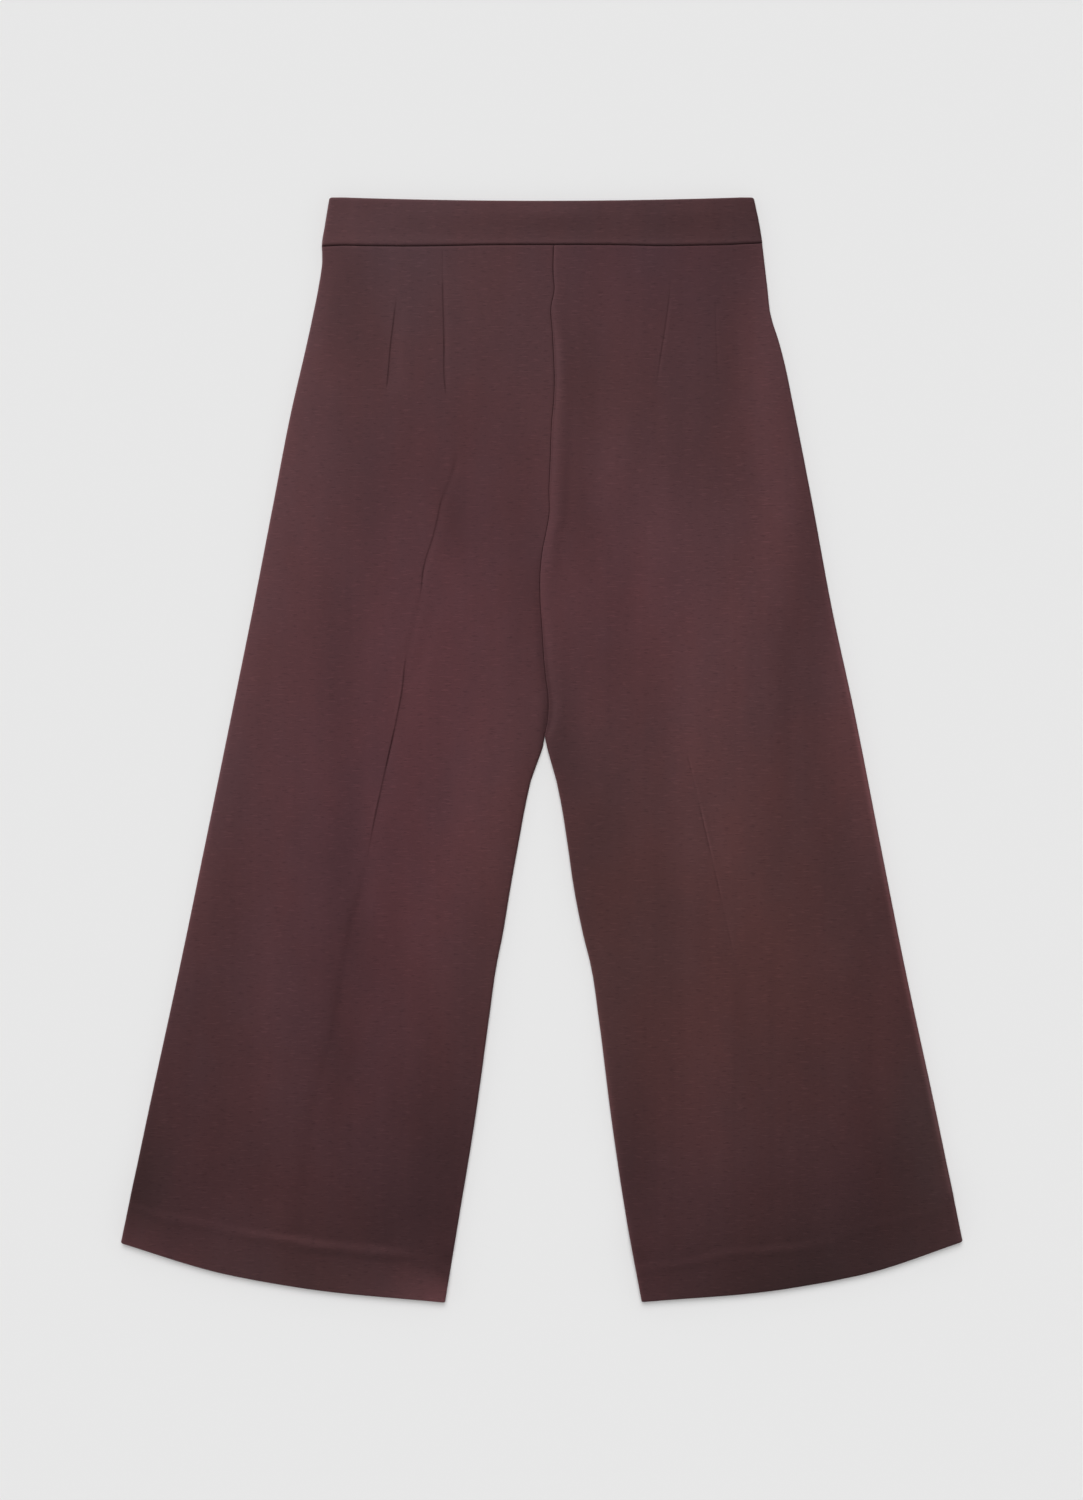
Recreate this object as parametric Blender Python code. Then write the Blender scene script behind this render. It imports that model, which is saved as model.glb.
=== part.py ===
"""Culottes lying flat on a table with the back up, as six sewn pieces of cloth.

The waist points to +Y, the hems to -Y, and Z = 0 is the table. Every size below is in millimetres,
and MM turns it into Blender's metres. "Down" is a distance below the waistband's top edge, "across"
is a distance to the right of the middle, and "up" is a distance above the hem line.

Each piece starts as a flat grid with a thickness, whose points know their column, their row and
their side of the cloth. A function then moves every point to its place on the garment.
"""

from collections import namedtuple
from math import cos, radians, sin

import bmesh
import bpy

MM = 0.001

# The whole garment.
LENGTH = 862.0
MIDDLE_DOWN = LENGTH / 2

# Cloth, and the air between layers and at seams.
WALL = 1.1
GAP = 0.3
LAYER = WALL + GAP
FOLD_REACH = GAP / 2 + WALL

# Waistband: a strip folded at its top edge and pressed flat, so it is thicker than the panels.
BAND_WALL = 2.0
BAND_RIM = 0.35
BAND_RIM_WIDTH = 1.3
BAND_ROWS = 4
BACK_BAND_COLUMNS = 24
FRONT_BAND_COLUMNS = 10
BAND_SEAM_DOWN = 35.8
BAND_SEAM_TILT = -0.009
TOP_DIP = 2.6
TOP_DIP_REACH = 155.0

# The back layer floats a little above the front layer, and comes down to it at the side edges.
AIR = 1.6
EDGE_ROLL = 18.0
SEAM_DITCH = 0.5
DITCH_REACH = 3.0

# The legs part here. Below it, a panel's inner edge is its inseam.
CROTCH_DOWN = 420.0
CROTCH_BLEND = 26.0

# Hem: turned up inside, so four layers lie on each other there.
HEM_DEPTH = 36.0
HEM_STEP_STARTS = 38.5
HEM_ZONE = 72.0
HEM_TRIES = 12

# Both legs' outer edges, from the waist down.
Outline = namedtuple("Outline", "down left right")
SIDE_SEAMS = [
    Outline(0, -166.0, 165.6),
    Outline(20, -169.2, 169.5),
    Outline(36, -171.6, 171.8),
    Outline(48, -171.2, 173.2),
    Outline(70, -174.3, 175.8),
    Outline(93, -178.9, 178.7),
    Outline(112, -183.0, 184.7),
    Outline(130, -187.1, 189.4),
    Outline(160, -194.1, 195.6),
    Outline(240, -209.8, 211.3),
    Outline(320, -225.3, 226.1),
    Outline(400, -241.5, 243.4),
    Outline(500, -261.9, 263.1),
    Outline(600, -282.5, 283.0),
    Outline(720, -308.4, 308.8),
    Outline(816, -328.4, 328.4),
]

# Both legs' inseams, below the crotch.
INSEAMS = [
    Outline(420, 2.1, 2.1),
    Outline(428, 0.9, 3.8),
    Outline(438, -2.5, 6.5),
    Outline(452, -7.7, 10.6),
    Outline(470, -12.0, 14.5),
    Outline(500, -17.6, 19.4),
    Outline(540, -24.8, 25.2),
    Outline(575, -30.6, 32.2),
    Outline(600, -35.6, 38.4),
    Outline(640, -41.2, 44.3),
    Outline(720, -52.3, 54.4),
    Outline(800, -65.4, 66.5),
    Outline(862, -75.6, 78.0),
]

# The seam between the two legs, above the crotch: it wanders on the back and is plain on the front.
Seam = namedtuple("Seam", "down back front")
CENTRE_SEAM = [
    Seam(36, 8.3, 4.0),
    Seam(68, 8.8, 4.0),
    Seam(78, 7.3, 4.0),
    Seam(93, 8.6, 4.0),
    Seam(126, 10.2, 4.0),
    Seam(146, 9.8, 4.0),
    Seam(175, 7.9, 4.0),
    Seam(223, 6.1, 3.6),
    Seam(275, 0.9, 3.2),
    Seam(305, -0.4, 3.0),
    Seam(345, 0.9, 2.8),
    Seam(392, 3.8, 2.4),
    Seam(420, 2.1, 2.1),
]

# The hem line of each leg, from the inseam to the side seam.
HemPoint = namedtuple("HemPoint", "across down")
LEFT_HEM = [
    HemPoint(-76, 862.0),
    HemPoint(-111, 860.7),
    HemPoint(-173, 852.6),
    HemPoint(-220, 845.4),
    HemPoint(-282, 831.0),
    HemPoint(-306, 824.0),
    HemPoint(-328.4, 815.6),
]
RIGHT_HEM = [
    HemPoint(78, 861.6),
    HemPoint(108, 861.3),
    HemPoint(147, 856.8),
    HemPoint(217, 846.9),
    HemPoint(287, 830.0),
    HemPoint(306, 823.6),
    HemPoint(328.4, 814.4),
]

# Two lines that run down each leg from its darts: the press crease, and one nearer the side seam.
Line = namedtuple("Line", "down left_crease left_side right_crease right_side")
LINES = [
    Line(36, -78.7, -109.0, 100.7, 132.7),
    Line(80, -77.9, -112.5, 98.3, 133.9),
    Line(110, -76.8, -117.5, 94.8, 135.0),
    Line(150, -76.4, -121.0, 89.2, 136.5),
    Line(205, -67.0, -133.0, 90.0, 142.0),
    Line(260, -85.7, -147.0, 94.0, 152.0),
    Line(320, -98.0, -161.0, 100.0, 164.0),
    Line(400, -113.5, -164.0, 108.0, 181.0),
    Line(480, -131.0, -168.0, 124.0, 199.0),
    Line(560, -149.5, -188.0, 142.5, 215.0),
    Line(640, -164.0, -208.0, 160.0, 229.0),
    Line(720, -178.0, -230.0, 174.0, 243.0),
    Line(790, -185.5, -246.0, 184.0, 253.0),
    Line(862, -192.0, -258.0, 191.0, 260.0),
]

# Darts, creases and soft folds. Each follows one of those lines, grows from "starts" to "full",
# fades from "fades" to "ends", and lifts the cloth by "rise" (or sinks it, where that is negative).
Fold = namedtuple("Fold", "leg line starts full fades ends rise reach")
FOLDS = [
    Fold("left", "crease", 38, 52, 120, 152, -0.5, 6),
    Fold("left", "side", 38, 52, 118, 146, -0.5, 6),
    Fold("right", "crease", 38, 56, 120, 146, -0.4, 6),
    Fold("right", "side", 38, 56, 108, 138, -0.3, 6),
    Fold("left", "crease", 188, 230, 290, 326, -1.2, 15),
    Fold("left", "crease", 326, 372, 620, 700, -1.3, 15),
    Fold("left", "crease", 680, 730, 790, 840, -0.5, 15),
    Fold("left", "side", 300, 345, 480, 525, -0.8, 15),
    Fold("right", "crease", 405, 450, 600, 680, 1.6, 15),
    Fold("right", "crease", 660, 700, 760, 820, 0.5, 15),
    Fold("right", "side", 200, 240, 300, 360, 0.6, 15),
]

# Columns of a panel: "after" counts the lines passed (0 is the inner edge, 1 the crease, 2 the side
# line, 3 the side seam), "share" is the part of the way to the next one, "shift" is outwards.
Column = namedtuple("Column", "after share shift")
BACK_COLUMNS = [
    Column(0, 0.0, 0),
    Column(0, 0.0, 3),
    Column(0, 0.0, 9),
    Column(0, 0.35, 0),
    Column(0, 0.65, 0),
    Column(1, 0.0, -14),
    Column(1, 0.0, -5),
    Column(1, 0.0, 0),
    Column(1, 0.0, 5),
    Column(1, 0.0, 13),
    Column(1, 0.6, 0),
    Column(2, 0.0, -5),
    Column(2, 0.0, 0),
    Column(2, 0.0, 5),
    Column(2, 0.3, 2),
    Column(2, 0.6, 0),
    Column(3, 0.0, -18),
    Column(3, 0.0, -8),
    Column(3, 0.0, -2.5),
    Column(3, 0.0, 0),
]
FRONT_COLUMNS = [
    Column(0, 0.0, 0),
    Column(0, 0.5, 0),
    Column(1, 0.0, 0),
    Column(1, 0.5, 0),
    Column(2, 0.0, 0),
    Column(2, 0.5, 0),
    Column(3, 0.0, 0),
]

# Rows of a panel: "share" is the part of the way from the waistband to the place "up" above the hem,
# and "turn" is how far the cloth has turned round the hem's fold, in degrees.
Row = namedtuple("Row", "share up turn")
CROTCH_SHARE = (CROTCH_DOWN - BAND_SEAM_DOWN) / (LENGTH - HEM_ZONE - BAND_SEAM_DOWN)
CROTCH_SHARES = [CROTCH_SHARE + step for step in (0.0, 0.011, 0.024, 0.042, 0.065)]
BACK_BODY_SHARES = [
    *(0.0, 0.006, 0.02, 0.045, 0.075, 0.105, 0.14, 0.17),
    *(0.2 + 0.04 * step for step in range(8)),
    *CROTCH_SHARES,
    *(0.61 + 0.039 * step for step in range(11)),
]
FRONT_BODY_SHARES = [0.0, 0.03, 0.06, 0.1, 0.14, 0.2, 0.3, 0.4, *CROTCH_SHARES, 0.65, 0.75, 0.88, 1.0]
BACK_HEM_UPS = [62, 54, 46, HEM_STEP_STARTS, 24, 12, 5]
FRONT_HEM_UPS = [HEM_STEP_STARTS, 12]
FOLD_TURNS = [0, 45, 90, 135, 180]
BACK_TURN_UPS = [12, 24, HEM_DEPTH]
FRONT_TURN_UPS = [18, HEM_DEPTH]

CLOTH_COLOUR = (0.086, 0.037, 0.041, 1.0)
CLOTH_ROUGHNESS = 0.85
CLOTH_METALLIC = 0.0
SHARP_ANGLE = radians(40)


def remove_objects():
    """Empties the scene."""
    for thing in list(bpy.data.objects):
        bpy.data.objects.remove(thing)


def smooth_curve(points):
    """A function for the smooth curve through (place, value) points, straight past both ends."""
    points = sorted(points)
    steps = [
        (after[1] - before[1]) / (after[0] - before[0])
        for before, after in zip(points, points[1:])
    ]
    slopes = [steps[0]]
    for index in range(1, len(steps)):
        left = points[index][0] - points[index - 1][0]
        right = points[index + 1][0] - points[index][0]
        slopes.append((steps[index - 1] * right + steps[index] * left) / (left + right))
    slopes.append(steps[-1])

    def value_at(place):
        if place <= points[0][0]:
            return points[0][1] + (place - points[0][0]) * slopes[0]
        if place >= points[-1][0]:
            return points[-1][1] + (place - points[-1][0]) * slopes[-1]
        index = max(n for n, point in enumerate(points[:-1]) if point[0] <= place)
        span = points[index + 1][0] - points[index][0]
        t = (place - points[index][0]) / span
        return (
            (2 * t**3 - 3 * t**2 + 1) * points[index][1]
            + (t**3 - 2 * t**2 + t) * span * slopes[index]
            + (3 * t**2 - 2 * t**3) * points[index + 1][1]
            + (t**3 - t**2) * span * slopes[index + 1]
        )

    return value_at


def table_curve(rows, column):
    """The smooth curve of one column of a table, by its distance down."""
    return smooth_curve([(row.down, getattr(row, column)) for row in rows])


def ease(value, start, end):
    """0 at start, 1 at end, and a soft ramp between."""
    t = min(max((value - start) / (end - start), 0.0), 1.0)
    return t * t * (3 - 2 * t)


def band_top(across):
    """The waistband's top edge dips a little in the middle."""
    return TOP_DIP * max(1 - (across / TOP_DIP_REACH) ** 2, 0.0)


def band_seam(across):
    """The seam under the waistband."""
    return BAND_SEAM_DOWN + BAND_SEAM_TILT * across


def in_metres(across, down, height):
    """A point of the garment as Blender's coordinates."""
    return (across * MM, (MIDDLE_DOWN - down) * MM, height * MM)


class Leg:
    """The outline, the lines and the hem of one leg panel."""

    def __init__(self, side, layer):
        self.side = side
        self.outwards = -1 if side == "left" else 1
        self.on_back = layer == "back"
        self.centre_seam = table_curve(CENTRE_SEAM, layer)
        self.inseam = table_curve(INSEAMS, side)
        self.lines = [
            self.inner_edge,
            table_curve(LINES, side + "_crease"),
            table_curve(LINES, side + "_side"),
            table_curve(SIDE_SEAMS, side),
        ]
        hem_points = LEFT_HEM if side == "left" else RIGHT_HEM
        self.hem_at = smooth_curve([(point.across, point.down) for point in hem_points])
        self.line_ends = [self.hem_on(line) for line in self.lines]

    def inner_edge(self, down):
        """The seam to the other leg, with half of its gap, and below the crotch the inseam."""
        edge = self.centre_seam(down) if down < CROTCH_DOWN else self.inseam(down)
        sewn = 1 - ease(down, CROTCH_DOWN, CROTCH_DOWN + CROTCH_BLEND)
        return edge + self.outwards * sewn * GAP / 2

    def hem_on(self, line):
        """How far down a line meets the hem, found by closing in on it."""
        down = LENGTH
        for _ in range(HEM_TRIES):
            down = self.hem_at(line(down))
        return down

    def line_points(self, row):
        """Where a row crosses the four lines, as (across, down)."""
        points = []
        for line, end in zip(self.lines, self.line_ends):
            start = band_seam(line(BAND_SEAM_DOWN)) + GAP / 2
            down = start + row.share * (end - row.up - start)
            points.append((line(down), down))
        return points

    def spot(self, column, row):
        """(across, down) where a column and a row meet."""
        points = self.line_points(row)
        across = points[column.after][0]
        if column.share:
            across += column.share * (points[column.after + 1][0] - across)
        across += column.shift * self.outwards
        return across, smooth_curve(points)(across)


def fold_height(leg, across, down):
    """What the darts, creases and soft folds add to the height of a back panel."""
    height = 0.0
    lines = {"crease": leg.lines[1], "side": leg.lines[2]}
    for fold in FOLDS:
        if fold.leg != leg.side:
            continue
        near = 1 - abs(across - lines[fold.line](down)) / fold.reach
        if near <= 0:
            continue
        along = ease(down, fold.starts, fold.full) * (1 - ease(down, fold.fades, fold.ends))
        height += fold.rise * along * near**2
    return height


def back_height(leg, across, down):
    """The middle of the hem's fold, and above it the same level carried over the whole back panel."""
    hem_level = 3 * LAYER - GAP / 2
    body_level = LAYER - GAP / 2
    up = leg.hem_at(across) - down
    from_side = abs(leg.lines[3](down) - across)
    from_inner = abs(leg.lines[0](down) - across)
    below_crotch = ease(down, CROTCH_DOWN - CROTCH_BLEND, CROTCH_DOWN + CROTCH_BLEND)
    air = AIR * ease(from_side, 0, EDGE_ROLL)
    air *= 1 - below_crotch * (1 - ease(from_inner, 0, EDGE_ROLL))
    air -= SEAM_DITCH * (1 - below_crotch) * (1 - ease(from_inner, 0, DITCH_REACH))
    air = max(air + fold_height(leg, across, down) * ease(from_side, 0, EDGE_ROLL), 0.0)
    on_hem = 1 - ease(up, HEM_STEP_STARTS, HEM_ZONE)
    return (body_level + air) * (1 - on_hem) + hem_level * on_hem


def panel_point(leg, column, row, side):
    """One point of a leg panel. Side 0 is the cloth's inside, and 1 its outside."""
    across, down = leg.spot(column, row)
    reach = GAP / 2 + WALL * side
    turn = radians(row.turn)
    down += reach * sin(turn)
    if leg.on_back:
        height = back_height(leg, across, down) + reach * cos(turn)
    else:
        height = LAYER - GAP / 2 - reach * cos(turn)
    return in_metres(across, down, height)


def panel_rows(body_shares, hem_ups, turn_ups):
    """The rows of a panel, from the waistband to the hem, round its fold and up inside."""
    rows = [Row(share, HEM_ZONE, 0) for share in body_shares]
    rows += [Row(1.0, up, 0) for up in hem_ups]
    rows += [Row(1.0, FOLD_REACH, turn) for turn in FOLD_TURNS]
    rows += [Row(1.0, up, 180) for up in turn_ups]
    return rows


def cloth_material(name):
    """A plain woven cloth in dark maroon."""
    material = bpy.data.materials.new(name)
    material.use_nodes = True
    shader = material.node_tree.nodes["Principled BSDF"]
    shader.inputs["Base Color"].default_value = CLOTH_COLOUR
    shader.inputs["Roughness"].default_value = CLOTH_ROUGHNESS
    shader.inputs["Metallic"].default_value = CLOTH_METALLIC
    return material


def make_cloth(name, column_count, row_count, place):
    """A closed block of cloth: a grid given a thickness, each point then moved by place()."""
    bm = bmesh.new()
    bmesh.ops.create_grid(bm, x_segments=column_count - 1, y_segments=row_count - 1, size=0.5)
    inside = bm.verts[:]
    grown = bmesh.ops.extrude_face_region(bm, geom=bm.faces[:], use_keep_orig=True)["geom"]
    outside = [item for item in grown if isinstance(item, bmesh.types.BMVert)]
    bmesh.ops.translate(bm, verts=outside, vec=(0, 0, 1))
    bmesh.ops.recalc_face_normals(bm, faces=bm.faces[:])
    for side, points in enumerate((inside, outside)):
        for point in points:
            column = round((point.co.x + 0.5) * (column_count - 1))
            row = round((point.co.y + 0.5) * (row_count - 1))
            point.co = place(column, row, side)
    if bm.calc_volume(signed=True) < 0:
        bmesh.ops.reverse_faces(bm, faces=bm.faces[:])
    bmesh.ops.triangulate(bm, faces=bm.faces[:])
    mesh = bpy.data.meshes.new(name)
    bm.to_mesh(mesh)
    bm.free()
    mesh.shade_smooth()
    mesh.set_sharp_from_angle(angle=SHARP_ANGLE)
    mesh.materials.append(cloth_material(name + "_cloth"))
    piece = bpy.data.objects.new(name, mesh)
    bpy.context.scene.collection.objects.link(piece)


def make_panel(side, layer):
    """One leg panel with its turned-up hem."""
    leg = Leg(side, layer)
    columns = BACK_COLUMNS if leg.on_back else FRONT_COLUMNS
    if leg.on_back:
        rows = panel_rows(BACK_BODY_SHARES, BACK_HEM_UPS, BACK_TURN_UPS)
    else:
        rows = panel_rows(FRONT_BODY_SHARES, FRONT_HEM_UPS, FRONT_TURN_UPS)

    def place(column, row, cloth_side):
        return panel_point(leg, columns[column], rows[row], cloth_side)

    make_cloth(layer + "_" + side, len(columns), len(rows), place)


def rimmed(count, rim_share):
    """Evenly spaced shares from 0 to 1, with one more just inside each end for a thinner rim."""
    return [0.0, rim_share] + [step / count for step in range(1, count)] + [1 - rim_share, 1.0]


def make_band(layer, column_count):
    """Half of the waistband: a flat strip with thinner rims, where it is folded and sewn."""
    left_edge = table_curve(SIDE_SEAMS, "left")
    right_edge = table_curve(SIDE_SEAMS, "right")
    column_shares = rimmed(column_count, BAND_RIM_WIDTH / (right_edge(0) - left_edge(0)))
    row_shares = rimmed(BAND_ROWS, BAND_RIM_WIDTH / BAND_SEAM_DOWN)
    rim_columns = (0, len(column_shares) - 1)
    rim_rows = (0, len(row_shares) - 1)
    on_back = layer == "back"
    floor = BAND_WALL + GAP if on_back else 0.0

    def place(column, row, cloth_side):
        rough_down = BAND_SEAM_DOWN * row_shares[row]
        left = left_edge(rough_down)
        across = left + (right_edge(rough_down) - left) * column_shares[column]
        top = band_top(across)
        down = top + (band_seam(across) - GAP / 2 - top) * row_shares[row]
        thinner = BAND_RIM if column in rim_columns or row in rim_rows else 0.0
        if cloth_side:
            height = BAND_WALL - thinner
        else:
            height = thinner if on_back else 0.0
        return in_metres(across, down, floor + height)

    make_cloth("waistband_" + layer, len(column_shares), len(row_shares), place)


def make_culottes():
    """All six pieces, from the table up."""
    remove_objects()
    for layer, band_columns in (("front", FRONT_BAND_COLUMNS), ("back", BACK_BAND_COLUMNS)):
        make_panel("left", layer)
        make_panel("right", layer)
        make_band(layer, band_columns)


make_culottes()
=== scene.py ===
# %% [markdown]
# # Culottes, laid flat
#
# This notebook dresses a plain model of wide-legged culottes. The garment lies on its front, so the
# back shows: a folded waistband, two leg panels with a seam between them, two darts in each panel,
# a press crease down each leg and a turned-up hem.
#
# The plain model already has every piece at its real size and place. It is loaded first, as a
# frame: nothing in it is moved, and each new piece of cloth stands for one piece of the frame.

from collections import namedtuple
from math import cos, pi, radians, sin

import bmesh
import bpy
import numpy as np
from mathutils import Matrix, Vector


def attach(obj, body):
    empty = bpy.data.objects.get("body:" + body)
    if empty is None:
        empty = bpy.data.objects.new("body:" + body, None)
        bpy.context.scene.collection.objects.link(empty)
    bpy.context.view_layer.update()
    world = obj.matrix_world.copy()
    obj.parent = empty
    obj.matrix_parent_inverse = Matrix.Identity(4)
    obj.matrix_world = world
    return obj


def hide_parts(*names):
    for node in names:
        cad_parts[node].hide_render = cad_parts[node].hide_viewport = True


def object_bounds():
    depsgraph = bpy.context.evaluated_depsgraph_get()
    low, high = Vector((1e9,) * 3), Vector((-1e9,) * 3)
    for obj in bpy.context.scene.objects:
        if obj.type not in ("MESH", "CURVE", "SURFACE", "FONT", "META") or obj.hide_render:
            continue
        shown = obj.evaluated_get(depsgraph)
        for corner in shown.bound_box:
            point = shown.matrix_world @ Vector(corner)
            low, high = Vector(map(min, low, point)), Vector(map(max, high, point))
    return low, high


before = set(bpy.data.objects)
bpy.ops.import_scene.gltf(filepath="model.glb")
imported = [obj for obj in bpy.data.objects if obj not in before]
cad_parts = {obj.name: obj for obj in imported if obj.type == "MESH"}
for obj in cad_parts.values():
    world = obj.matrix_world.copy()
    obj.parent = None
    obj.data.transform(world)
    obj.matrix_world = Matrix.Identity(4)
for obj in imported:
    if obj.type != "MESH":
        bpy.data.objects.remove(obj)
frame_box = [list(corner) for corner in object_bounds()]
print("pieces in the frame:", sorted(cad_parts))
print("the frame's box in metres:", frame_box)

# %% [markdown]
# ## Places on the garment
#
# A tailor measures a garment down from the waist and out from the middle, in millimetres. The same
# is done here: "down" starts at the waistband's top edge, "across" at the middle, growing to the
# right, and "height" at the table. One function turns the three into Blender's metres, so every
# other size can be read off a tape measure.

# %% From a tape measure to Blender
MM = 0.001
LENGTH = (frame_box[1][1] - frame_box[0][1]) / MM
MIDDLE_DOWN = frame_box[1][1] / MM


def on_table(across, down, height):
    """Places on the garment as rows of X, Y and Z in metres."""
    return np.stack([across * MM, (MIDDLE_DOWN - down) * MM, height * MM], axis=-1)


print(f"the garment is {LENGTH:.0f} mm long")

# %% [markdown]
# ## Smooth curves through a few measurements
#
# An outline drawn from a few measurements needs a rule for what lies between them. Straight lines
# would give corners. This curve passes through each measurement and takes its slope there from the
# two neighbours, the nearer one counting for more. It works on whole arrays, because one panel has
# tens of thousands of points.

# %% A smooth curve, and a soft ramp
def smooth_curve(places, values):
    """A function for the smooth curve through the measurements, straight past both ends."""
    order = np.argsort(places)
    x = np.array(places, float)[order]
    y = np.array(values, float)[order]
    spans = np.diff(x)
    steps = np.diff(y) / spans
    inner = (steps[:-1] * spans[1:] + steps[1:] * spans[:-1]) / (spans[1:] + spans[:-1])
    slopes = np.concatenate([steps[:1], inner, steps[-1:]])

    def value_at(place):
        place = np.asarray(place, float)
        n = np.clip(np.searchsorted(x, place, side="right") - 1, 0, len(spans) - 1)
        t = (place - x[n]) / spans[n]
        between = (
            (2 * t**3 - 3 * t**2 + 1) * y[n]
            + (t**3 - 2 * t**2 + t) * spans[n] * slopes[n]
            + (3 * t**2 - 2 * t**3) * y[n + 1]
            + (t**3 - t**2) * spans[n] * slopes[n + 1]
        )
        before = y[0] + (place - x[0]) * slopes[0]
        after = y[-1] + (place - x[-1]) * slopes[-1]
        return np.where(place < x[0], before, np.where(place > x[-1], after, between))

    return value_at


def ease(value, start, end):
    """0 up to start, 1 from end on, and a soft ramp between."""
    t = np.clip((value - start) / (end - start), 0, 1)
    return t * t * (3 - 2 * t)


# %% [markdown]
# ## Tables of measurements
#
# Most of a garment is measurements, and they read best as short tables with named columns. Rows
# left of the middle belong to the left leg, and the others to the right. Where the first column
# says where each row was measured, a smooth curve can be drawn through any other column.

# %% Tables, and curves through their columns
def table(columns, *rows):
    """A short table with named columns, as a list of its rows."""
    Row = namedtuple("Row", columns)
    return [Row(*row) for row in rows]


def by_side(rows, column="across"):
    """The rows for the left leg, which lie left of the middle, and those for the right leg."""
    sides = {"left": [], "right": []}
    for row in rows:
        sides["left" if getattr(row, column) < 0 else "right"].append(row)
    return sides


def column_curve(rows, column):
    """The smooth curve of one column of a table, by the first column."""
    return smooth_curve([row[0] for row in rows], [getattr(row, column) for row in rows])


def row_curve(rows):
    """A function for a whole row of a table at any place, smooth in every column."""
    Row = type(rows[0])
    curves = [column_curve(rows, column) for column in Row._fields[1:]]
    return lambda place: Row(place, *(curve(place) for curve in curves))


# %% [markdown]
# ## The pattern: side seams, inseams, centre seam and hems
#
# These are the edges that a maker would draw on pattern paper. The hip curves out of the waist, the
# leg widens in an almost straight line, and the hem is cut as a shallow arc so that it hangs level.
# The two legs differ by a few millimetres, as cloth laid out by hand does.

# %% The edges of the pattern
SIDE_SEAMS = table(
    "down left right",
    (0, -166, 165.6),
    (20, -169.2, 169.5),
    (36, -171.6, 171.8),
    (48, -171.2, 173.2),
    (70, -174.3, 175.8),
    (93, -178.9, 178.7),
    (112, -183, 184.7),
    (130, -187.1, 189.4),
    (160, -194.1, 195.6),
    (240, -209.8, 211.3),
    (320, -225.3, 226.1),
    (400, -241.5, 243.4),
    (500, -261.9, 263.1),
    (600, -282.5, 283),
    (720, -308.4, 308.8),
    (816, -328.4, 328.4),
)
INSEAMS = table(
    "down left right",
    (420, 2.1, 2.1),
    (428, 0.9, 3.8),
    (438, -2.5, 6.5),
    (452, -7.7, 10.6),
    (470, -12, 14.5),
    (500, -17.6, 19.4),
    (540, -24.8, 25.2),
    (575, -30.6, 32.2),
    (600, -35.6, 38.4),
    (640, -41.2, 44.3),
    (720, -52.3, 54.4),
    (800, -65.4, 66.5),
    (862, -75.6, 78),
)
CENTRE_SEAM = table(
    "down back front",
    (36, 9.3, 4),
    (60, 9, 4),
    (72, 9.8, 4),
    (86, 7.2, 4),
    (103, 8.2, 4),
    (119, 9.1, 4),
    (142, 9.9, 4),
    (158, 9.4, 3.9),
    (174, 7.9, 3.8),
    (205, 6.7, 3.6),
    (228, 5.7, 3.4),
    (248, 5.7, 3.3),
    (259, 3.8, 3.2),
    (275, 0.6, 3.1),
    (291, -1.1, 3),
    (312, -1.3, 2.9),
    (337, 0.3, 2.8),
    (361, 1.8, 2.7),
    (376, 3.3, 2.6),
    (388, 4.9, 2.5),
    (407, 4.6, 2.3),
    (420, 2.1, 2.1),
)
CROTCH_DOWN = 420.0
CROTCH_BLEND = 26.0
HEMS = table(
    "across down",
    (-76, 862), (-111, 860.7), (-173, 852.6), (-220, 845.4), (-282, 831), (-306, 824),
    (-328.4, 815.6),
    (78, 861.6), (108, 861.3), (147, 856.8), (217, 846.9), (287, 830), (306, 823.6),
    (328.4, 814.4),
)
OUTWARDS = {"left": -1, "right": 1}
hip_width = SIDE_SEAMS[9].right - SIDE_SEAMS[9].left
print(f"flat across the hips: {hip_width:.0f} mm")

# %% [markdown]
# ## The waistband's edges
#
# The waistband is a strip folded over at the top. Its top edge dips a little in the middle of the
# back. The seam below it wanders by a millimetre, as a long seam sewn by hand does. On the back,
# the pieces stand a little apart at every seam, which draws it as a fine dark line. On the front
# they almost touch, so that no light from the table comes up through both.

# %% Waistband sizes
BAND_SEAM = table(
    "across down",
    (-172, 38.2), (-155, 37.5), (-138, 37.8), (-107, 38.1), (-76, 37.8), (-45, 37.2), (0, 37),
    (60, 37.1), (96, 37.8), (127, 37.3), (143, 37), (159, 36.2), (172, 35.6),
)
BAND_SEAM_DOWN = 37.0
SEAM_GAPS = {"back": 0.12, "front": 0.02}
TOP_DIP = 2.6
TOP_DIP_REACH = 155.0


def band_top(across):
    """How far the waistband's top edge dips below its highest point."""
    return TOP_DIP * np.maximum(1 - (across / TOP_DIP_REACH) ** 2, 0)


band_seam = column_curve(BAND_SEAM, "down")

# %% [markdown]
# ## Two lines down each leg
#
# A press crease runs down the middle of each leg, starting near the inner dart. A second line,
# nearer the side seam, starts at the outer dart. The mesh of each panel gets a column of points
# along each of them, because a fine crease stays crisp only where the mesh has an edge to hold it.

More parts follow.
